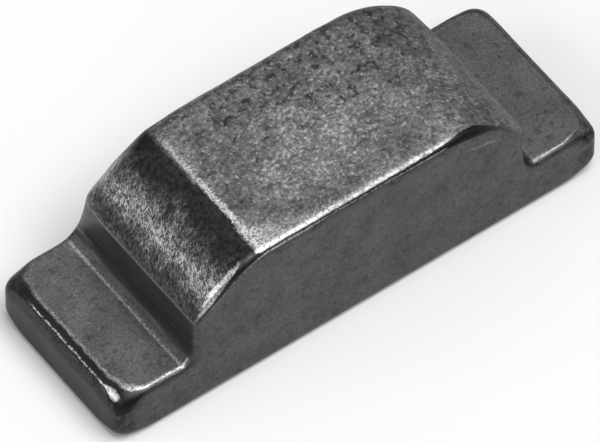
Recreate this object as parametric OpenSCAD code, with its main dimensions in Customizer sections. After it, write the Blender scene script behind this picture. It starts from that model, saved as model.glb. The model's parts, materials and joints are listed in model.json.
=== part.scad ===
// Sliding key of a gearbox synchronizer: one solid steel block with a raised middle and a low tab
// at each end. X runs along the key, Y across it and Z up. The origin is the middle of the underside.

/* [Key] */
// Length over both tabs
key_l = 20; // [17:0.1:26]
// Width across the two flanks
key_w = 6.85; // [5:0.05:9]
// Height of the flat crown above the underside
key_h = 6; // [5.2:0.1:8]
// Radius of the four upright corners, as seen from above
corner_r = 0.8; // [0.6:0.05:2]

/* [Tabs] */
// Length of each tab, from its end to the wall of the hump
tab_l = 3.1; // [2.2:0.05:4.5]
// Height of each tab above the underside
tab_h = 2.15; // [1.4:0.05:3]
// Fillet between a tab and the wall
foot_r = 0.4; // [0.2:0.05:0.6]

/* [Hump] */
// Run of each ramp, from the ridge at the end of the flat crown out to the wall
ramp_run = 2.85; // [2.3:0.05:4]
// Drop of each ramp from the ridge to the top of the wall
ramp_drop = 1.75; // [1.2:0.05:2.2]
// Angle at which each convex ramp leaves the crown
ridge_angle = 7; // [3:1:14]

/* [Edges] */
// Round along every top edge of the flanks and ends
edge_r = 0.5; // [0.2:0.05:0.6]
// Round along every edge of the underside
base_r = 0.3; // [0.1:0.05:0.5]

/* [Hidden] */
$fn = 72;

// The edge round is limited by the corners that it runs round
edge = min(edge_r, 0.8 * corner_r);

// The wall stands upright, and the ramp is an arc from the ridge to the top of the wall
wall_x = key_l / 2 - tab_l;
ridge_x = wall_x - ramp_run;
ramp_turn = atan(ramp_drop / ramp_run) - ridge_angle;
ramp_r = norm([ramp_run, ramp_drop]) / 2 / sin(ramp_turn);
ramp_x = ridge_x - ramp_r * sin(ridge_angle);
ramp_z = key_h - ramp_r * cos(ridge_angle);

// The core stays a little more than an edge round behind every outer face
core_x = wall_x - 1.2 * edge;
sole_z = tab_h - 1.2 * edge;

// Places where one stretch of the outline hands over to the next
foot_x = wall_x + foot_r;
foot_z = tab_h + foot_r;
turn_x = key_l / 2 - corner_r;
turn_y = key_w / 2 - corner_r;
foot_depth = norm([foot_x - core_x, foot_z - sole_z]) - 0.9 * foot_r;

// A quarter disc in the first quadrant
module quarter(radius) {
    intersection() {
        circle(radius);
        square(radius);
    }
}

// The rounded top of a section, as wide as the key and with its top line on the X axis
module cap(depth) {
    translate([-key_w / 2, -depth])
        square([key_w, depth - edge]);
    translate([-key_w / 2 + edge, -edge])
        square([key_w - 2 * edge, edge]);
    for (side = [0, 1])
        mirror([side, 0])
            translate([key_w / 2 - edge, -edge])
                quarter(edge);
}

// The rounded foot of a section, as wide as the key and standing on the X axis
module sill(height) {
    translate([-key_w / 2, base_r])
        square([key_w, height - base_r]);
    translate([-key_w / 2 + base_r, 0])
        square([key_w - 2 * base_r, base_r]);
    for (side = [0, 1])
        mirror([side, 0])
            translate([key_w / 2 - base_r, base_r])
                mirror([0, 1])
                    quarter(base_r);
}

// An upright slice through a tab's rim, as deep as the round corners
module rim() {
    translate([0, base_r])
        square([corner_r, tab_h - edge - base_r]);
    square([corner_r - base_r, base_r]);
    translate([0, tab_h - edge])
        square([corner_r - edge, edge]);
    translate([corner_r - edge, tab_h - edge])
        quarter(edge);
    translate([corner_r - base_r, base_r])
        mirror([0, 1])
            quarter(base_r);
}

// The cap carried straight along the key from one place to another
module cap_run(from_x, to_x, top_z, depth) {
    translate([from_x, 0, top_z])
        rotate([90, 0, 90])
            linear_extrude(to_x - from_x)
                cap(depth);
}

// The cap carried round a crosswise axis; it faces away from the axis, or towards it in a hollow
module cap_turn(axis_x, axis_z, radius, depth, start, sweep, hollow = false) {
    translate([axis_x, 0, axis_z])
        rotate([90, 0, 0])
            rotate([0, 0, start])
                rotate_extrude(angle = sweep)
                    translate([radius, 0])
                        rotate(hollow ? 90 : -90)
                            cap(depth);
}

// All that a ramp leaves standing: the round-edged disc about the ramp's crosswise axis, carried a
// little past level and upright, and all that lies further in or further down than that axis
module below_ramp() {
    reach = 2 * key_l;
    hub = ramp_r / 20;
    past = 15;
    cap_turn(ramp_x, ramp_z, ramp_r, ramp_r - hub, -past, 90 + 2 * past);
    translate([ramp_x - reach, -key_w, -reach])
        cube([reach, 2 * key_w, 2 * reach]);
    translate([-reach, -key_w, ramp_z + hub - reach])
        cube([2 * reach, 2 * key_w, reach]);
}

// The raised middle above the foot fillets: an upright block with round corners, cut down to the
// crown and the two ramps
module hump() {
    intersection() {
        translate([0, 0, foot_z])
            linear_extrude(key_h) {
                square([2 * wall_x, key_w - 2 * edge], center = true);
                square([2 * (wall_x - edge), key_w], center = true);
                for (along = [-1, 1], side = [-1, 1])
                    translate([along * (wall_x - edge), side * (key_w / 2 - edge)])
                        circle(edge);
            }
        cap_run(-key_l, key_l, key_h, key_h);
        below_ramp();
        mirror([1, 0, 0])
            below_ramp();
    }
}

// One low tab: its fillet to the hump, its flanks, its end face and its two round corners
module tab() {
    cap_turn(foot_x, foot_z, foot_r, foot_depth, 180, 90, true);
    cap_run(foot_x, turn_x, tab_h, tab_h - base_r);
    translate([turn_x, turn_y, 0])
        rotate([90, 0, 0])
            linear_extrude(2 * turn_y)
                rim();
    for (side = [0, 1])
        mirror([0, side, 0])
            translate([turn_x, turn_y, 0])
                rotate_extrude(angle = 90)
                    rim();
}

// The core from the underside up into the hump, and the sole that runs on below the tabs
module core() {
    translate([-core_x, -key_w / 2, base_r])
        cube([2 * core_x, key_w, foot_z]);
    rotate([90, 0, 90])
        linear_extrude(2 * turn_x, center = true)
            sill(sole_z);
}

module key() {
    color("dimgray")
        union() {
            core();
            hump();
            for (end = [0, 1])
                mirror([end, 0, 0])
                    tab();
        }
}

key();
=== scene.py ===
import json
import math
import bpy
import numpy as np
from mathutils import Matrix, Vector

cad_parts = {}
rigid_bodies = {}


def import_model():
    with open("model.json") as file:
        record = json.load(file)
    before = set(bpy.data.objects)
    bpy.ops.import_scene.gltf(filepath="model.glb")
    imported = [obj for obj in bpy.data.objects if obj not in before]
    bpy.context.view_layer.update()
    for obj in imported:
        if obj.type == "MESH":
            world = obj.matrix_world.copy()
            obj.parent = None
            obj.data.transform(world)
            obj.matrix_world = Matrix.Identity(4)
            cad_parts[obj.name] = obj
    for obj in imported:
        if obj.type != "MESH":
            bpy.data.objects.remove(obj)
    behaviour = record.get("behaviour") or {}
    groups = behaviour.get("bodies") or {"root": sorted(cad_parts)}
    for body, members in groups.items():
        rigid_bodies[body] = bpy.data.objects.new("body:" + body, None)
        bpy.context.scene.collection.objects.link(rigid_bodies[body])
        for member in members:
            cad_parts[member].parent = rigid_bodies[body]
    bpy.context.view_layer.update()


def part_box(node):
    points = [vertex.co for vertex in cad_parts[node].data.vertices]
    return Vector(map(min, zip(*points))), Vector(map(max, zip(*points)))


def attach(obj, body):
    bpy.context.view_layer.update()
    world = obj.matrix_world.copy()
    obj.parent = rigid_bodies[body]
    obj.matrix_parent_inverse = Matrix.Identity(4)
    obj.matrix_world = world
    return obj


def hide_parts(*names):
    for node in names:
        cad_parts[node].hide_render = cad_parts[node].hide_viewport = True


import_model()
mm = 0.001  # sizes below are in millimetres, Blender's are in metres
lowCorner, highCorner = (np.array(c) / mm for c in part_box("key"))
print("frame loaded, key box in mm", np.round(highCorner - lowCorner, 3).tolist())

# The key body: sizes in mm, angles in degrees
keyBody = {
    "halfLength": (highCorner[0] - lowCorner[0]) / 2,
    "halfWidth": (highCorner[1] - lowCorner[1]) / 2,
    "height": highCorner[2] - lowCorner[2],
    "crownHalf": 4.05,      # middle of the crown to the ridge
    "ridgeAngle": 7.3,      # slope of the ramp where it leaves the ridge
    "rampRadius": 3.85,
    "breakX": 6.855,        # where the ramp ends at the wall
    "wallX": 6.865,
    "breakRound": 0.06,
    "breakSpread": 0.36,    # how much more the break is rounded at the rolled flank
    "ridgeRound": 0.08,
    "ridgeSpread": 0.28,    # the same for the ridge
    "tabHigh": 2.15,
    "footRound": 0.42,
    "footSpread": 0.30,     # how much wider the foot fillet runs out at the rolled flank
    "cornerRound": 0.80,    # upright corners of the tabs, seen from above
    "cornerPower": {"left": 3.6, "rightNear": 4.2, "rightFar": 2.5},  # 2 is circular, more is squarer
    "cornerZone": 1.4,      # how far from the corner its edges begin to change
    "rightWear": 0.10,      # how much shorter the right end has worn
    # edge radii along the -Y flank, then the +Y flank, then over the left and right ends
    "crispEdge": {"crown": 0.34, "leftRamp": 0.32, "rightRamp": 0.34,
                  "leftBreak": 0.30, "rightBreak": 0.55, "tab": 0.28},
    "rolledEdge": {"crown": 0.57, "leftRamp": 1.15, "rightRamp": 0.74,
                   "leftBreak": 0.85, "rightBreak": 0.70, "tab": 0.25},
    "endEdge": {"left": 0.62, "right": 0.27},
    "rampBlend": (0.5, 0.7),  # how far before and after the ridge the edge changes from crown to ramp
    "rampLead": 1.0,        # how much sooner and later it does so at the rolled flank
    "breakBlend": 1.1,      # how far before the break the edge begins to change
    "cornerEdge": {"left": 0.30, "rightNear": 0.20, "rightFar": 0.10},  # what tab corners add to its edges
    "baseEdge": 0.30,
    "baseCorner": {"left": 0.38, "rightNear": 0.46, "rightFar": 0.38},  # and to the base's
    "edgeWave": 0.05,       # share by which worn edges swell and shrink
    "edgeWaveLength": 1.6,
    "skinWave": 0.006,      # unevenness of the faces
    "skinWaveLength": 2.4,
    "pathLines": 300,       # grid lines along the top, across it and up the flanks
    "acrossLines": 92,
    "upLines": 36,
}


def smooth(low, high, v):  # 0 below low, 1 above high, an S curve between
    t = np.clip((v - low) / (high - low), 0, 1)
    return t * t * (3 - 2 * t)


def roundAnd(a, b, r):  # inside both distances, with the edge where they meet rolled over by r
    return np.minimum(np.maximum(a, b), -r) + np.hypot(np.maximum(a + r, 0), np.maximum(b + r, 0))


def roundOr(a, b, r):  # inside either distance, with the inner corner filled by r
    return np.maximum(np.minimum(a, b), r) - np.hypot(np.maximum(r - a, 0), np.maximum(r - b, 0))


def waves(p, length, seed, count=9):  # sum of sine waves in random directions, between about -1 and 1
    rng = np.random.default_rng(seed)
    ways = rng.normal(size=(count, 3))
    pitch = (2 * math.pi / length) * rng.uniform(0.6, 1.5, (count, 1))
    ways *= pitch / np.linalg.norm(ways, axis=1)[:, None]
    return np.sin(p @ ways.T + rng.uniform(0, 2 * math.pi, count)).mean(1) * 1.6


def rampCentre(k):  # the ramp is an arc that leaves the ridge at the ridge angle
    a = math.radians(k["ridgeAngle"])
    return k["crownHalf"] - k["rampRadius"] * math.sin(a), k["height"] - k["rampRadius"] * math.cos(a)


def breakAngle(k):
    return math.asin((k["breakX"] - rampCentre(k)[0]) / k["rampRadius"])


def breakHeight(k):
    return rampCentre(k)[1] + k["rampRadius"] * math.cos(breakAngle(k))


# Distance below the side profile: crown plane, ramp arc with its tangents, wall, foot fillet and tab plane
def profileDistance(ax, y, z, k):
    cx, cz = rampCentre(k)
    turn = np.clip(np.arctan2(ax - cx, z - cz), math.radians(k["ridgeAngle"]), breakAngle(k))
    ramp = (ax - cx) * np.sin(turn) + (z - cz) * np.cos(turn) - k["rampRadius"]
    rolled = smooth(0.5 * k["halfWidth"], k["halfWidth"], y)
    brink = k["breakRound"] + k["breakSpread"] * rolled
    ridge = k["ridgeRound"] + k["ridgeSpread"] * rolled
    hump = roundAnd(roundAnd(z - k["height"], ramp, ridge), ax - k["wallX"], brink)
    return roundOr(hump, z - k["tabHigh"], k["footRound"] + k["footSpread"] * rolled)


# A setting that differs between the left corners and the right ones on the -Y and +Y flanks
def byCorner(p, setting):
    right = np.where(p[:, 1] < 0, setting["rightNear"], setting["rightFar"])
    return np.where(p[:, 0] < 0, setting["left"], right)


# How far a point lies into a corner of the plan of a given size, along and across
def intoCorner(p, size, k):
    reach = np.maximum(-p[:, 0], p[:, 0] + k["rightWear"])
    return reach - k["halfLength"] + size, np.abs(p[:, 1]) - k["halfWidth"] + size


# Share of a tab's end, from 0 on its flank to 1 on its end face, turning with the angle round the corner
def endShare(p, k):
    qx, qy = (np.maximum(q, 0) for q in intoCorner(p, k["cornerZone"], k))
    return qx ** 2 / (qx ** 2 + qy ** 2 + 1e-9)


# Distance inside the plan outline: a rectangle whose corners are quarter superellipses
def planDistance(p, k):
    qx, qy = intoCorner(p, k["cornerRound"], k)
    power = byCorner(p, k["cornerPower"])
    corner = (np.maximum(qx, 0) ** power + np.maximum(qy, 0) ** power) ** (1 / power)
    return corner + np.minimum(np.maximum(qx, qy), 0) - k["cornerRound"]


# Edge radius at a point: flanks of crown, ramp, break and tab in turn, then the tab's end round its corner
def edgeRadius(p, k):
    x, ax = p[:, 0], np.abs(p[:, 0])
    toFar = smooth(-1, 1, p[:, 1])
    flank = {n: k["crispEdge"][n] * (1 - toFar) + k["rolledEdge"][n] * toFar for n in k["crispEdge"]}
    ramp = np.where(x < 0, flank["leftRamp"], flank["rightRamp"])
    brink = np.where(x < 0, flank["leftBreak"], flank["rightBreak"])
    end = np.where(x < 0, k["endEdge"]["left"], k["endEdge"]["right"])
    corner = byCorner(p, k["cornerEdge"])
    (before, after), lead = k["rampBlend"], k["rampLead"] * toFar
    toRamp = smooth(k["crownHalf"] - before - lead, k["crownHalf"] + after + lead, ax)
    toBreak = smooth(k["breakX"] - k["breakBlend"], k["breakX"], ax)
    toTab = toBreak * smooth(-breakHeight(k), -k["tabHigh"], -p[:, 2])
    radius = flank["crown"] + (ramp - flank["crown"]) * toRamp
    radius += (brink - radius) * toBreak
    radius += (flank["tab"] - radius) * toTab
    toEnd = endShare(p, k)
    radius = radius * (1 - toEnd) + end * toEnd + corner * 4 * toEnd * (1 - toEnd)
    return radius * (1 + k["edgeWave"] * waves(p, k["edgeWaveLength"], seed=3))


# Distance to the key's skin: profile and plan met with a rolled edge, then the underside, and a slight
# waviness, mostly inwards
def skinDistance(p, k):
    ax, z = np.abs(p[:, 0]), p[:, 2]
    sides = roundAnd(profileDistance(ax, p[:, 1], z, k), planDistance(p, k), edgeRadius(p, k))
    atCorner = smooth(0, k["cornerZone"], np.minimum(*intoCorner(p, k["cornerZone"], k)))
    base = k["baseEdge"] + byCorner(p, k["baseCorner"]) * atCorner
    wave = k["skinWave"] * (1 + waves(p, k["skinWaveLength"], seed=5))
    return roundAnd(sides, -z, base) + wave * smooth(0, 0.6, z)


# The profile's points from the middle out to the tab's end, at even steps along it
def topPath(k, count):
    cx, cz = rampCentre(k)
    turn = np.linspace(math.radians(k["ridgeAngle"]), breakAngle(k), 60)
    foot = np.linspace(0, math.pi / 2, 30)
    fx = k["wallX"] + k["footRound"] - k["footRound"] * np.cos(foot)
    fz = k["tabHigh"] + k["footRound"] - k["footRound"] * np.sin(foot)
    x = np.r_[0, cx + k["rampRadius"] * np.sin(turn), fx, k["halfLength"]]
    z = np.r_[k["height"], cz + k["rampRadius"] * np.cos(turn), fz, k["tabHigh"]]
    s = np.r_[0, np.cumsum(np.hypot(np.diff(x), np.diff(z)))]
    at = np.linspace(0, s[-1], count)
    return np.interp(at, s, x), np.interp(at, s, z), at


# Values from -1 to 1, closer together near both ends
def endBiased(count, power):
    t = np.linspace(-1, 1, count)
    return np.sign(t) * (1 - (1 - np.abs(t)) ** power)


# A closed box of grid lines: point (i, j, h) lies at share up[h] of the way from the underside to the top
# path at i, and j counts across
def boxGrid(k):
    half = k["pathLines"] // 2
    px, pz, ps = (v[1:] for v in topPath(k, half + 1))
    px, pz, ps = np.r_[-px[::-1], px], np.r_[pz[::-1], pz], np.r_[-ps[::-1], ps]
    bx = 0.5 * px + 0.5 * ps / ps[-1] * k["halfLength"]
    y = endBiased(k["acrossLines"], 1.7) * k["halfWidth"]
    up = endBiased(k["upLines"], 1.7) / 2 + 0.5
    ni, nj, nk = len(px), len(y), len(up)
    i, j, h = np.meshgrid(np.arange(ni), np.arange(nj), np.arange(nk), indexing="ij")
    shell = (i % (ni - 1) == 0) | (j % (nj - 1) == 0) | (h % (nk - 1) == 0)
    number = np.full(shell.shape, -1)
    number[shell] = np.arange(shell.sum())
    i, j, h = i[shell], j[shell], h[shell]
    points = np.stack([bx[i] + (px[i] - bx[i]) * up[h], y[j], pz[i] * up[h]], -1)

    def quads(a, turned):
        q = np.stack([a[:-1, :-1], a[1:, :-1], a[1:, 1:], a[:-1, 1:]], -1).reshape(-1, 4)
        return q[:, ::-1] if turned else q

    faces = [quads(number[:, :, -1], False), quads(number[:, :, 0], True), quads(number[:, 0], False),
             quads(number[:, -1], True), quads(number[0], True), quads(number[-1], False)]
    return points, np.concatenate(faces), ps[i]


# Each point goes down the slope of the distance until it lies on the skin
def ontoSkin(p, k, rounds=8, step=1e-3):
    for _ in range(rounds):
        f = skinDistance(p, k)
        slope = np.stack([(skinDistance(p + step * e, k) - f) / step for e in np.eye(3)], -1)
        p = p - np.clip(f / np.maximum((slope ** 2).sum(1), 0.2), -0.4, 0.4)[:, None] * slope
    return np.clip(p, lowCorner, highCorner)


def makeMesh(name, points, faces):
    mesh = bpy.data.meshes.new(name)
    mesh.from_pydata((points * mm).tolist(), [], faces.tolist())
    mesh.polygons.foreach_set("use_smooth", np.ones(len(faces), bool))
    mesh.validate()
    piece = bpy.data.objects.new(name, mesh)
    bpy.context.scene.collection.objects.link(piece)
    return piece


def giveAttribute(piece, name, values):
    kind = "FLOAT_VECTOR" if values.ndim == 2 else "FLOAT"
    field = piece.data.attributes.new(name, kind, "POINT")
    field.data.foreach_set("vector" if values.ndim == 2 else "value", values.astype(np.float32).ravel())


gridPoints, gridFaces, alongPath = boxGrid(keyBody)
skin = ontoSkin(gridPoints, keyBody)
keyPiece = makeMesh("key_body", skin, gridFaces)
print("key body:", len(skin), "points,", 2 * len(gridFaces), "triangles, worst skin error in mm",
      float(np.abs(skinDistance(skin, keyBody)).max()))


# Rubbed wear and painted light on the rolled edges: bands across the roll, which is 0 on top and 1 on the
# flank or end;
# the bright band is rubbed wear with a painted highlight, the dark band painted shade and the light line a
# painted highlight. Each row is a place along the top path, or across an end, then the bright and dark bands'
# start, end and strength, and the light line's place, half width and strength
wearAndPaintedLightNames = ("brightFrom", "brightTo", "brightGain", "darkFrom", "darkTo", "darkGain",
             "lineAt", "lineHalf", "lineGain")
flankBright = [
    (-12.1, -0.35, 0.05, 0.9), (-11.6, 0.02, 0.28, 0.95), (-10.6, 0.06, 0.24, 0.8), (-9.7, 0.02, 0.24, 0.95),
    (-9.5, 0.05, 0.15, 0.8), (-9.3, 0.05, 0.10, 0.0), (-7.5, 0.42, 0.45, 0.0), (-7.2, 0.40, 0.52, 1.3),
    (-6.4, 0.14, 0.77, 1.6), (-5.6, 0.12, 0.56, 1.5), (-5.2, 0.08, 0.42, 1.3), (-4.7, 0.00, 0.10, 0.0),
    (-4.25, -1.9, 0.30, 0.0), (-4.1, -1.9, 0.38, 2.2), (-3.8, -1.5, 0.40, 1.9), (-3.4, -0.8, 0.42, 1.3),
    (-2.9, -0.15, 0.42, 0.75), (-1.0, 0.12, 0.42, 0.50), (1.0, 0.14, 0.42, 0.45), (3.0, 0.08, 0.36, 0.50),
    (3.9, 0.06, 0.28, 0.65),
    (4.15, 0.05, 0.12, 0.0), (9.9, 0.14, 0.20, 0.0), (10.2, 0.14, 0.20, 0.5), (10.8, 0.11, 0.18, 1.0),
    (11.3, 0.05, 0.17, 0.9), (11.6, 0.04, 0.10, 0.0),
]
flankDark = [
    (-12.5, 0.12, 1.05, 1.0), (-12.0, 0.16, 0.95, 1.0), (-11.7, 0.26, 0.80, 0.9), (-11.3, 0.28, 0.55, 0.7),
    (-9.8, 0.24, 0.42, 0.5), (-9.3, 0.25, 0.40, 0.0),
    (-7.6, 0.50, 0.60, 0.0), (-7.0, 0.60, 0.74, 0.6), (-6.0, 0.68, 1.05, 0.85), (-5.2, 0.42, 1.00, 0.85),
    (-4.6, 0.40, 0.70, 0.5), (-4.2, 0.38, 0.56, 0.8), (-3.6, 0.43, 0.53, 0.85), (0.0, 0.44, 0.53, 0.8),
    (2.6, 0.42, 0.60, 0.85), (3.4, 0.34, 0.74, 0.95), (4.1, 0.16, 0.86, 1.0), (4.8, 0.04, 0.84, 1.0),
    (5.5, 0.34, 0.66, 0.8), (6.4, 0.50, 0.75, 0.35), (7.4, 0.50, 0.70, 0.0), (9.6, 0.30, 0.50, 0.3),
    (10.4, 0.28, 0.52, 0.7), (11.4, 0.14, 0.50, 0.85), (12.0, 0.05, 0.60, 0.95),
]
flankLine = [
    (-9.0, 0.46, 0.02, 0.0), (-7.2, 0.90, 0.04, 0.0), (-6.0, 1.10, 0.04, 0.3), (-4.4, 0.75, 0.04, 0.5),
    (-3.8, 0.62, 0.07, 1.6), (-2.0, 0.62, 0.06, 1.3), (-1.4, 0.60, 0.04, 0.8), (2.6, 0.64, 0.04, 0.9),
    (3.3, 0.66, 0.05, 1.0), (3.6, 0.66, 0.04, 0.0),
    (4.3, 1.75, 0.07, 0.0), (4.8, 1.95, 0.09, 0.22), (5.5, 1.60, 0.09, 0.20), (6.0, 1.45, 0.07, 0.0),
]
leftEnd = [
    (-3.20, 0.08, 0.10, 0.0, 0.15, 0.95, 1.0, 0.46, 0.04, 0.0),
    (-3.04, 0.08, 0.10, 0.1, 0.15, 0.85, 1.0, 0.46, 0.08, 0.1),
    (-2.95, 0.09, 0.12, 0.3, 0.15, 0.64, 0.9, 0.46, 0.14, 1.5),
    (-2.75, 0.10, 0.14, 0.7, 0.15, 0.60, 0.9, 0.43, 0.15, 1.5),
    (-2.45, 0.10, 0.14, 0.9, 0.16, 0.56, 0.9, 0.43, 0.07, 1.4),
    (-2.30, 0.10, 0.14, 1.0, 0.16, 0.56, 0.9, 0.44, 0.03, 1.3),
    (1.80, 0.10, 0.14, 0.9, 0.16, 0.54, 0.9, 0.44, 0.025, 1.3),
    (2.10, 0.09, 0.12, 0.5, 0.14, 0.54, 0.9, 0.46, 0.03, 0.0),
    (3.20, 0.06, 0.08, 0.0, 0.10, 0.60, 0.9, 0.46, 0.03, 0.0),
]
rightEnd = [(0.0, 0.24, 0.30, 0.3, 0.02, 0.14, 0.3, 0.70, 0.03, 0.2)]
wearAndLightShare = {
    "farFlank": 0.75,   # how much weaker the rubbed wear and the painted highlights and shade on the +Y flank's edges are
    "rightWall": 0.2,   # how much of the left wall's dark finish the right one has
    "rightRamp": 0.5,   # how much of the crown's finish the right ramp loses towards its break
}


# Where each finish, and the painted light and shade on the edges, lies on the key, as shares from 0 to 1
def finishAndLightFields(p, along, k):
    x, ax, z = p[:, 0], np.abs(p[:, 0]), p[:, 2]
    top, plan, radius = profileDistance(ax, p[:, 1], z, k), planDistance(p, k), edgeRadius(p, k)
    roll = np.arctan2(np.maximum(plan + radius, 0), np.maximum(top + radius, 1e-6)) / (math.pi / 2)
    past = np.minimum(plan + radius, 0) - np.minimum(top + radius, 0)  # beyond the rolled edge
    roll += past / (radius * math.pi / 2)
    onTop = 1 - smooth(0.35, 0.65, roll)
    breakZ = breakHeight(k)
    pastRidge = smooth(k["crownHalf"] - 0.06, k["crownHalf"] + 0.06, ax)
    pastBreak = smooth(k["breakX"] - 0.08, k["breakX"], ax) * (1 - smooth(breakZ, breakZ + 0.08, z))
    pastFoot = smooth(k["wallX"] + k["footRound"] - 0.1, k["wallX"] + k["footRound"], ax)
    atEnd = pastFoot * smooth(0.15, 0.85, endShare(p, k))
    onRamp = pastRidge * (1 - pastBreak)

    def stations(at, rows):  # the rows' columns, straight between one place and the next
        rows = np.array(rows)
        return [np.interp(at, rows[:, 0], column) for column in rows.T[1:]]

    onFlank = stations(along, flankBright) + stations(along, flankDark) + stations(along, flankLine)
    onEnd = [np.where(x < 0, a, b) for a, b in zip(stations(p[:, 1], leftEnd), stations(p[:, 1], rightEnd))]
    fields = {name: a + (b - a) * atEnd for name, a, b in zip(wearAndPaintedLightNames, onFlank, onEnd)}
    milder = 1 - wearAndLightShare["farFlank"] * smooth(-1, 1, p[:, 1]) * (1 - atEnd)
    for name in ("brightGain", "darkGain", "lineGain"):
        fields[name] *= milder
    fields["roll"] = roll
    backRamp = onRamp * (x > 0)
    backCrown = backRamp * (1 - wearAndLightShare["rightRamp"] * smooth(5.2, 6.6, ax))
    fields["crown"] = (1 - pastRidge + backCrown) * onTop
    fields["backEnd"] = backRamp * smooth(4.4, 6.0, ax) * onTop
    fields["ramp"] = onRamp * (x < 0) * onTop
    fields["wall"] = pastBreak * (1 - pastFoot) * onTop * np.where(x < 0, 1, wearAndLightShare["rightWall"])
    fields["tab"] = (pastFoot + backRamp) * onTop
    fields["end"] = smooth(0.6, 1.0, roll) * atEnd
    share = endShare(p, k)
    # painted shade round the tab corners on the -Y flank
    fields["cornerShade"] = pastFoot * smooth(0.2, 0.9, 4 * share * (1 - share)) * (p[:, 1] < 0)
    fields["left"] = (x < 0) * 1.0
    fields["slope"] = np.degrees(np.arctan2(ax - rampCentre(k)[0], z - rampCentre(k)[1]))
    fields["wrap"] = np.stack([along, p[:, 1], z], -1)
    return fields


for fieldName, fieldValues in finishAndLightFields(skin, alongPath, keyBody).items():
    giveAttribute(keyPiece, fieldName, fieldValues)


# Places along the top path: ridge, break, top of the foot fillet and its lower end
def pathMarks(k):
    breakAt = k["crownHalf"] + k["rampRadius"] * (breakAngle(k) - math.radians(k["ridgeAngle"]))
    footAt = breakAt + breakHeight(k) - k["tabHigh"] - k["footRound"]
    tabAt = footAt + k["footRound"] * math.pi / 2
    return {"ridge": k["crownHalf"], "break": breakAt, "foot": footAt, "tab": tabAt}


class Nodes:  # short forms for building one material's nodes
    def __init__(self, tree):
        self.tree = tree

    def put(self, kind, ins=None, **settings):
        node = self.tree.nodes.new(kind)
        for name, value in settings.items():
            setattr(node, name, value)
        for name, value in (ins or {}).items():
            if isinstance(value, bpy.types.NodeSocket):
                self.tree.links.new(value, node.inputs[name])
            else:
                node.inputs[name].default_value = value
        return node

    def calc(self, operation, a, b=0.0, c=0.0):
        return self.put("ShaderNodeMath", {0: a, 1: b, 2: c}, operation=operation).outputs[0]

    def add(self, a, b):
        return self.calc("ADD", a, b)

    def take(self, a, b):
        return self.calc("SUBTRACT", a, b)

    def times(self, a, b):
        return self.calc("MULTIPLY", a, b)

    def rise(self, v, low, high, bottom=0.0, top=1.0):  # S curve from bottom to top for v from low to high
        ins = {"Value": v, "From Min": low, "From Max": high, "To Min": bottom, "To Max": top}
        return self.put("ShaderNodeMapRange", ins, interpolation_type="SMOOTHSTEP").outputs[0]

    def blend(self, share, a, b):
        return self.put("ShaderNodeMix", {0: share, 2: a, 3: b}).outputs[0]

    def field(self, name):
        return self.put("ShaderNodeAttribute", attribute_name=name)

    def noise(self, at, scale, detail=2.0, rough=0.55, distortion=0.0):
        ins = {"Vector": at, "Scale": scale, "Detail": detail, "Roughness": rough, "Distortion": distortion}
        return self.put("ShaderNodeTexNoise", ins).outputs[0]


steelLook = {
    "flankTone": 0.082,
    "endTone": 0.030,
    "tabTone": 0.215,
    "crownTone": 0.23,
    "rampTone": 0.045,
    "fleckTone": 0.32,
    "hairTone": 0.70,
    "wallTone": 0.085,
    # tone of the rubbed wear and painted highlights on the edges, and of the painted highlight lines across
    # the top
    "rubAndHighlightTone": 0.95,
    "edgeRubAndHighlight": 0.56,    # share of that on the flank edges
    # tone of the painted shade beside the rubbed edges and round the tab corners
    "darkTone": 0.024,
    "bodyRough": 0.42,
    "crownRough": 0.50,
    "backRough": 0.75,  # lower part of the right ramp
    "rubRough": 0.30,
    "lineRough": 0.55,  # rubbed places on the flat and light lines across the top
    "bumpDepth": 0.02,  # mm
    "bumpStrength": 0.35,
    # noise cells per mm
    "fineScale": 13.0,
    "midScale": 6.0,
    "clumpScale": 2.4,
    "broadScale": 0.9,
    "patchScale": 0.95,
    "spotScale": (3.4, 6.5),
    "speckScale": 3.5,
    "fleckScale": 7.5,
    "raggedScale": 2.5,
    "cornerShadeScale": 3.6,
    "slopeScale": 1.3,
    "hairScale": (4.0, 15.0),  # along and across each hair
    "hairTurns": (62, 14),     # degrees from the key's length
    "speckShade": 0.40,
    "bandSlopes": (18, 40, 38, 54),  # degrees at which the band of burnish hairs and painted highlight begins and ends
    "bandEnd": 0.22,           # what is left of it after that
}


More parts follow.
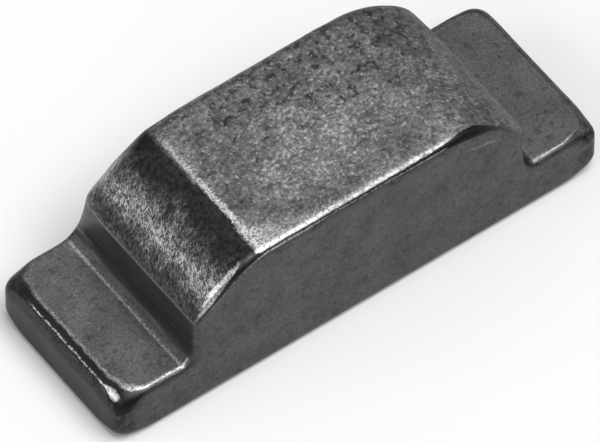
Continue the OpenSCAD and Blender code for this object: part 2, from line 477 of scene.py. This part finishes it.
def keySteel(look, marks):
    mat = bpy.data.materials.new("key_steel")
    mat.use_nodes = True
    n = Nodes(mat.node_tree)
    place = n.put("ShaderNodeTexCoord").outputs["Object"]
    at = n.put("ShaderNodeMapping", {"Vector": place, "Scale": (1 / mm,) * 3}).outputs[0]
    wrap = n.field("wrap").outputs["Vector"]
    split = n.put("ShaderNodeSeparateXYZ", {0: wrap})
    alongKey, across = split.outputs[0], split.outputs[1]
    along = n.calc("ABSOLUTE", alongKey)
    f = {name: n.field(name).outputs["Fac"] for name in wearAndPaintedLightNames + (
        "roll", "crown", "backEnd", "ramp", "wall", "tab", "end", "cornerShade", "left", "slope")}
    fine = n.noise(at, look["fineScale"], 2.0, 0.6)
    mid = n.noise(at, look["midScale"], 3.0, 0.65)
    broad = n.noise(at, look["broadScale"], 2.0, 0.5)

    # flanks, ends and tabs: fine grain over faint clouds
    flank = n.times(look["flankTone"], n.rise(alongKey, -12, -6, 0.88, 1.0))
    # painted light: the left tab a little lighter than the right one
    tab = n.times(look["tabTone"], n.rise(f["left"], 0, 1, 0.91, 1.02))
    body = n.blend(f["tab"], n.blend(f["end"], flank, look["endTone"]), tab)
    largeSpot, smallSpot = look["spotScale"]
    spot = n.rise(n.noise(at, largeSpot, 2.0, 0.6), 0.57, 0.68, 1.0, 0.68)
    spot = n.times(spot, n.rise(mid, 0.61, 0.73, 1.0, 1.6))
    spot = n.times(spot, n.rise(n.noise(at, smallSpot, 1.0), 0.62, 0.70, 1.0, 0.65))
    cloud = n.add(n.rise(fine, 0.25, 0.75, 0.72, 1.28), n.rise(broad, 0.3, 0.7, -0.14, 0.14))
    body = n.times(n.times(body, spot), cloud)

    # crown: grain over light and dark patches, dark specks that crowd towards the far flank, bright flecks
    farShare = n.times(n.rise(across, -3.0, 3.2), n.rise(alongKey, -4, 1.5, 0.6, 1.0))
    patch = n.noise(at, look["patchScale"], 3.0, 0.6)
    middle = n.times(n.rise(along, 4.2, 0.5), n.rise(n.calc("ABSOLUTE", n.add(across, 0.6)), 3.0, 0.0))
    grain = n.times(n.rise(fine, 0.25, 0.75, 0.8, 1.2), n.rise(mid, 0.3, 0.7, 0.62, 1.38))
    grain = n.times(grain, n.rise(n.noise(at, look["clumpScale"], 3.0, 0.65, 0.8), 0.3, 0.7, 0.7, 1.3))
    crown = n.times(n.times(look["crownTone"], grain), n.rise(patch, 0.3, 0.7, 0.76, 1.24))
    speckLow = n.rise(n.add(farShare, n.rise(patch, 0.3, 0.7, 0.3, -0.3)), 0.0, 1.0, 0.63, 0.515)
    speck = n.rise(n.take(n.noise(at, look["speckScale"], 2.0, 0.5), speckLow), 0.0, 0.13)
    clump = n.add(n.times(middle, 0.05), n.rise(patch, 0.35, 0.65, -0.03, 0.03))
    fleck = n.rise(n.add(n.noise(at, look["fleckScale"], 2.0, 0.6), clump), 0.58, 0.70)
    crown = n.times(crown, n.rise(speck, 0.0, 1.0, 1.0, look["speckShade"]))
    # painted light: the crown a little lighter to the right and in the middle, and darker towards the far
    # flank
    crown = n.times(crown, n.rise(alongKey, -4, 4, 1.0, 1.05))
    crown = n.times(crown, n.rise(middle, 0.0, 1.0, 1.0, 1.1))
    crown = n.times(crown, n.rise(across, -0.5, 3.4, 1.02, 0.84))
    crown = n.add(crown, n.times(fleck, look["fleckTone"]))

    # left ramp: dark under the ridge, then a band of short bright burnish hairs, set by the slope and
    # lightened there as a painted highlight
    def hairs(turn):
        size = (1 / look["hairScale"][0], 1 / look["hairScale"][1], 1)
        ins = {"Vector": wrap, "Rotation": (0, 0, math.radians(turn)), "Scale": size}
        turned = n.put("ShaderNodeMapping", ins, vector_type="TEXTURE").outputs[0]
        return n.noise(turned, 1.0, 2.0, 0.5, 1.6)

    hair = n.calc("MAXIMUM", *(hairs(turn) for turn in look["hairTurns"]))
    slope = n.add(f["slope"], n.rise(n.noise(at, look["slopeScale"], 3.0, 0.6), 0.2, 0.8, -8, 8))
    starts, full, fades, ends = look["bandSlopes"]
    band = n.times(n.rise(slope, starts, full), n.rise(slope, fades, ends, 1.0, look["bandEnd"]))
    bright = n.times(n.rise(n.add(hair, n.times(band, 0.06)), 0.56, 0.70), band)
    dull = n.times(n.blend(band, look["rampTone"], look["rampTone"] * 2.0), n.rise(mid, 0.3, 0.7, 0.6, 1.5))
    dull = n.add(dull, n.times(n.rise(fine, 0.60, 0.72), look["rampTone"]))
    ramp = n.blend(bright, dull, look["hairTone"])

    # wall: nearly black, drawn in fine lines along its length, with a lighter foot
    lines = n.put("ShaderNodeMapping", {"Vector": wrap, "Scale": (30, 0.6, 30)}).outputs[0]
    wall = n.times(look["wallTone"], n.rise(n.noise(lines, 1.0, 2.0), 0.3, 0.7, 0.6, 1.5))

    tone = n.times(n.blend(f["crown"], body, crown), n.rise(f["backEnd"], 0, 1, 1.0, 0.86))
    tone = n.blend(f["ramp"], tone, ramp)
    tone = n.blend(f["wall"], tone, wall)

    # rolled edges: a bright band of rubbed wear and painted highlight, a dark band of painted shade beside it
    # and a thin painted highlight line
    ragged = n.rise(n.noise(at, look["raggedScale"], 2.0, 0.6), 0.2, 0.8, -0.03, 0.03)
    ragged = n.add(ragged, n.rise(fine, 0.2, 0.8, -0.05, 0.05))
    roll = n.add(f["roll"], ragged)

    def between(low, high, start):
        begun = n.rise(n.take(roll, f[low]), start, 0.04)
        return n.times(begun, n.rise(n.take(roll, f[high]), -0.04, 0.04, 1, 0))

    patchy = n.times(n.rise(fine, 0.38, 0.62, 0.2, 1.0), n.rise(mid, 0.34, 0.54, 0.5, 1.0))
    fade = n.rise(along, marks["ridge"], marks["ridge"] + 0.4, -0.7, -0.1)  # the crown's band fades inwards
    rubAndHighlightGain = n.times(n.times(f["brightGain"], look["edgeRubAndHighlight"]), patchy)
    rubAndHighlight = n.times(between("brightFrom", "brightTo", fade), rubAndHighlightGain)
    shade = n.times(between("darkFrom", "darkTo", -0.04), f["darkGain"])
    # painted shade round the tab corners on the -Y flank, broken into blotches and joined to the dark band
    cornerShade = n.rise(n.noise(at, look["cornerShadeScale"], 3.0, 0.65), 0.45, 0.54)
    cornerShade = n.times(cornerShade, n.rise(f["roll"], 0.3, 0.6))
    shade = n.calc("MAXIMUM", shade, n.times(n.times(cornerShade, f["cornerShade"]), 0.9))
    offLine = n.take(n.add(f["roll"], n.times(ragged, 0.4)), f["lineAt"])
    gap = n.take(n.calc("ABSOLUTE", offLine), f["lineHalf"])
    grit = n.add(n.times(mid, 0.5), n.times(fine, 0.5))
    broken = n.rise(n.add(grit, f["lineHalf"]), 0.44, 0.60)  # wide lines are whole
    lineGain = n.times(n.times(f["lineGain"], look["edgeRubAndHighlight"]), broken)
    line = n.times(n.rise(gap, -0.03, 0.03, 1, 0), lineGain)

    # light lines across the top, painted highlights that are partly rubbed wear: the ridge, the break and
    # both sides of the foot fillet, each from a little before its mark to a little after it; they are
    # stronger on the left end and towards the near flank
    def lineAt(mark, before, after, wander, gain):
        off = n.add(n.take(along, marks[mark]), n.rise(n.add(mid, fine), 0.6, 1.4, -wander, wander))
        rim = n.times(n.rise(off, -before, -0.3 * before), n.rise(off, 0.5 * after, after, 1, 0))
        return n.times(rim, n.times(gain, n.rise(fine, 0.36, 0.62, 0.25, 1.0)))

    nearShare = n.rise(across, 3.0, -3.0)
    ridgeGain = n.times(f["left"], n.rise(nearShare, 0, 1, 0.68, 1.10))
    ridgeGain = n.times(ridgeGain, n.rise(across, 2.2, 2.9, 1, 0))
    tabGain = n.rise(f["left"], 0, 1, 0.06, 0.50)
    cross = lineAt("ridge", 0.26, 0.07, 0.07, ridgeGain)
    cross = n.calc("MAXIMUM", cross, lineAt("tab", 0.07, 0.09, 0.035, tabGain))
    cross = n.calc("MAXIMUM", cross, lineAt("break", 0.05, 0.05, 0.01, 0.16))
    cross = n.calc("MAXIMUM", cross, lineAt("foot", 0.04, 0.04, 0.01, 0.12))
    cross = n.calc("MAXIMUM", cross, lineAt("tab", 0.30, 0.05, 0.03, 0.15))
    cross = n.times(cross, n.rise(f["roll"], 0.2, 0.6, 1, 0))
    edges = n.calc("MAXIMUM", rubAndHighlight, line)
    shiny = n.calc("MAXIMUM", edges, cross)
    tone = n.blend(shade, tone, look["darkTone"])
    tone = n.blend(shiny, tone, look["rubAndHighlightTone"])

    rough = n.blend(f["crown"], look["bodyRough"], look["crownRough"])
    rough = n.blend(f["backEnd"], rough, look["backRough"])
    edgeRough = n.rise(f["roll"], 0.0, 0.25, look["lineRough"], look["rubRough"])
    rough = n.blend(edges, n.blend(cross, rough, look["lineRough"]), edgeRough)
    height = n.times(mid, n.rise(f["crown"], 0, 1, 0.15, 1.0))
    height = n.add(height, n.times(n.times(hair, band), f["ramp"]))
    ins = {"Height": height, "Strength": look["bumpStrength"], "Distance": look["bumpDepth"] * mm}
    bump = n.put("ShaderNodeBump", ins).outputs[0]
    shader = mat.node_tree.nodes["Principled BSDF"]
    shader.inputs["Metallic"].default_value = 1.0
    colour = n.put("ShaderNodeCombineColor", {0: tone, 1: tone, 2: tone}).outputs[0]
    mat.node_tree.links.new(colour, shader.inputs["Base Color"])
    mat.node_tree.links.new(rough, shader.inputs["Roughness"])
    mat.node_tree.links.new(bump, shader.inputs["Normal"])
    return mat


keyPiece.data.materials.append(keySteel(steelLook, pathMarks(keyBody)))
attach(keyPiece, "root")
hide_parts("key")
print("steel finish on the key")

# Floor, light and camera
floorLook = {"half": 4.0, "tone": 0.885}
world = {"horizon": 0.06, "zenith": 0.42}
softbox = {"way": (0.15, -0.3, 0.94), "far": 3.0, "size": (2.0, 2.4), "power": 74.0}
sidebox = {"way": (-0.80, -0.12, 0.52), "far": 3.0, "size": (5.0, 1.1), "power": 34.0}
# The photo's view: azimuth 0 looks along +Y, scale is in pixels per mm at the origin, and shift in pixels
# from the middle
view = {"azimuth": -35.83, "elevation": 52.68, "roll": -0.31, "scale": 29.79, "shift": (1.95, 18.15),
        "distance": 476.0, "imageWidth": 600}


def layFloor(look):
    h = look["half"]
    mesh = bpy.data.meshes.new("floor")
    mesh.from_pydata([(-h, -h, 0), (h, -h, 0), (h, h, 0), (-h, h, 0)], [], [(0, 1, 2, 3)])
    floor = bpy.data.objects.new("floor", mesh)
    bpy.context.scene.collection.objects.link(floor)
    mat = bpy.data.materials.new("pale_floor")
    mat.use_nodes = True
    shader = mat.node_tree.nodes["Principled BSDF"]
    shader.inputs["Base Color"].default_value = (look["tone"],) * 3 + (1,)
    shader.inputs["Roughness"].default_value = 1.0
    shader.inputs["Specular IOR Level"].default_value = 0.0
    mesh.materials.append(mat)


def lightWorld(look):  # grey sky, from a darker horizon to a lighter zenith
    sky = bpy.data.worlds.new("studio")
    sky.use_nodes = True
    tree = sky.node_tree
    n = Nodes(tree)
    way = n.put("ShaderNodeSeparateXYZ", {0: n.put("ShaderNodeTexCoord").outputs["Generated"]})
    level = n.rise(way.outputs["Z"], 0.0, 1.0, look["horizon"], look["zenith"])
    tree.links.new(level, tree.nodes["Background"].inputs["Strength"])
    tree.nodes["Background"].inputs["Color"].default_value = (1, 1, 1, 1)
    bpy.context.scene.world = sky


def hangSoftbox(name, look):  # a soft lamp that looks at the key from the way given
    lamp = bpy.data.lights.new(name, "AREA")
    lamp.shape = "RECTANGLE"
    lamp.size, lamp.size_y = look["size"]
    lamp.energy = look["power"]
    hung = bpy.data.objects.new(name, lamp)
    way = Vector(look["way"]).normalized()
    hung.location = way * look["far"]
    hung.rotation_euler = way.to_track_quat("Z", "Y").to_euler()
    bpy.context.scene.collection.objects.link(hung)


def aimCamera(v):  # a pinhole that puts the key's origin and scale where the photo has them
    az, el, roll = (math.radians(v[n]) for n in ("azimuth", "elevation", "roll"))
    back = Vector((math.sin(az) * math.cos(el), -math.cos(az) * math.cos(el), math.sin(el)))
    right = Vector((math.cos(az), math.sin(az), 0))
    up = back.cross(right)
    right, up = math.cos(roll) * right + math.sin(roll) * up, math.cos(roll) * up - math.sin(roll) * right
    aim = (-v["shift"][0] * right + v["shift"][1] * up) / v["scale"]
    lens = bpy.data.cameras.new("camera")
    lens.sensor_fit = "HORIZONTAL"
    lens.lens = v["scale"] * v["distance"] * lens.sensor_width / v["imageWidth"]
    lens.clip_start, lens.clip_end = 0.01, 100
    camera = bpy.data.objects.new("camera", lens)
    turn = Matrix((right, up, back)).transposed().to_4x4()
    camera.matrix_world = Matrix.Translation((aim + back * v["distance"]) * mm) @ turn
    bpy.context.scene.collection.objects.link(camera)
    bpy.context.scene.camera = camera


layFloor(floorLook)
lightWorld(world)
hangSoftbox("softbox_top", softbox)
hangSoftbox("softbox_side", sidebox)
aimCamera(view)
bpy.context.scene.view_settings.view_transform = "Standard"
print("floor, light and camera set")
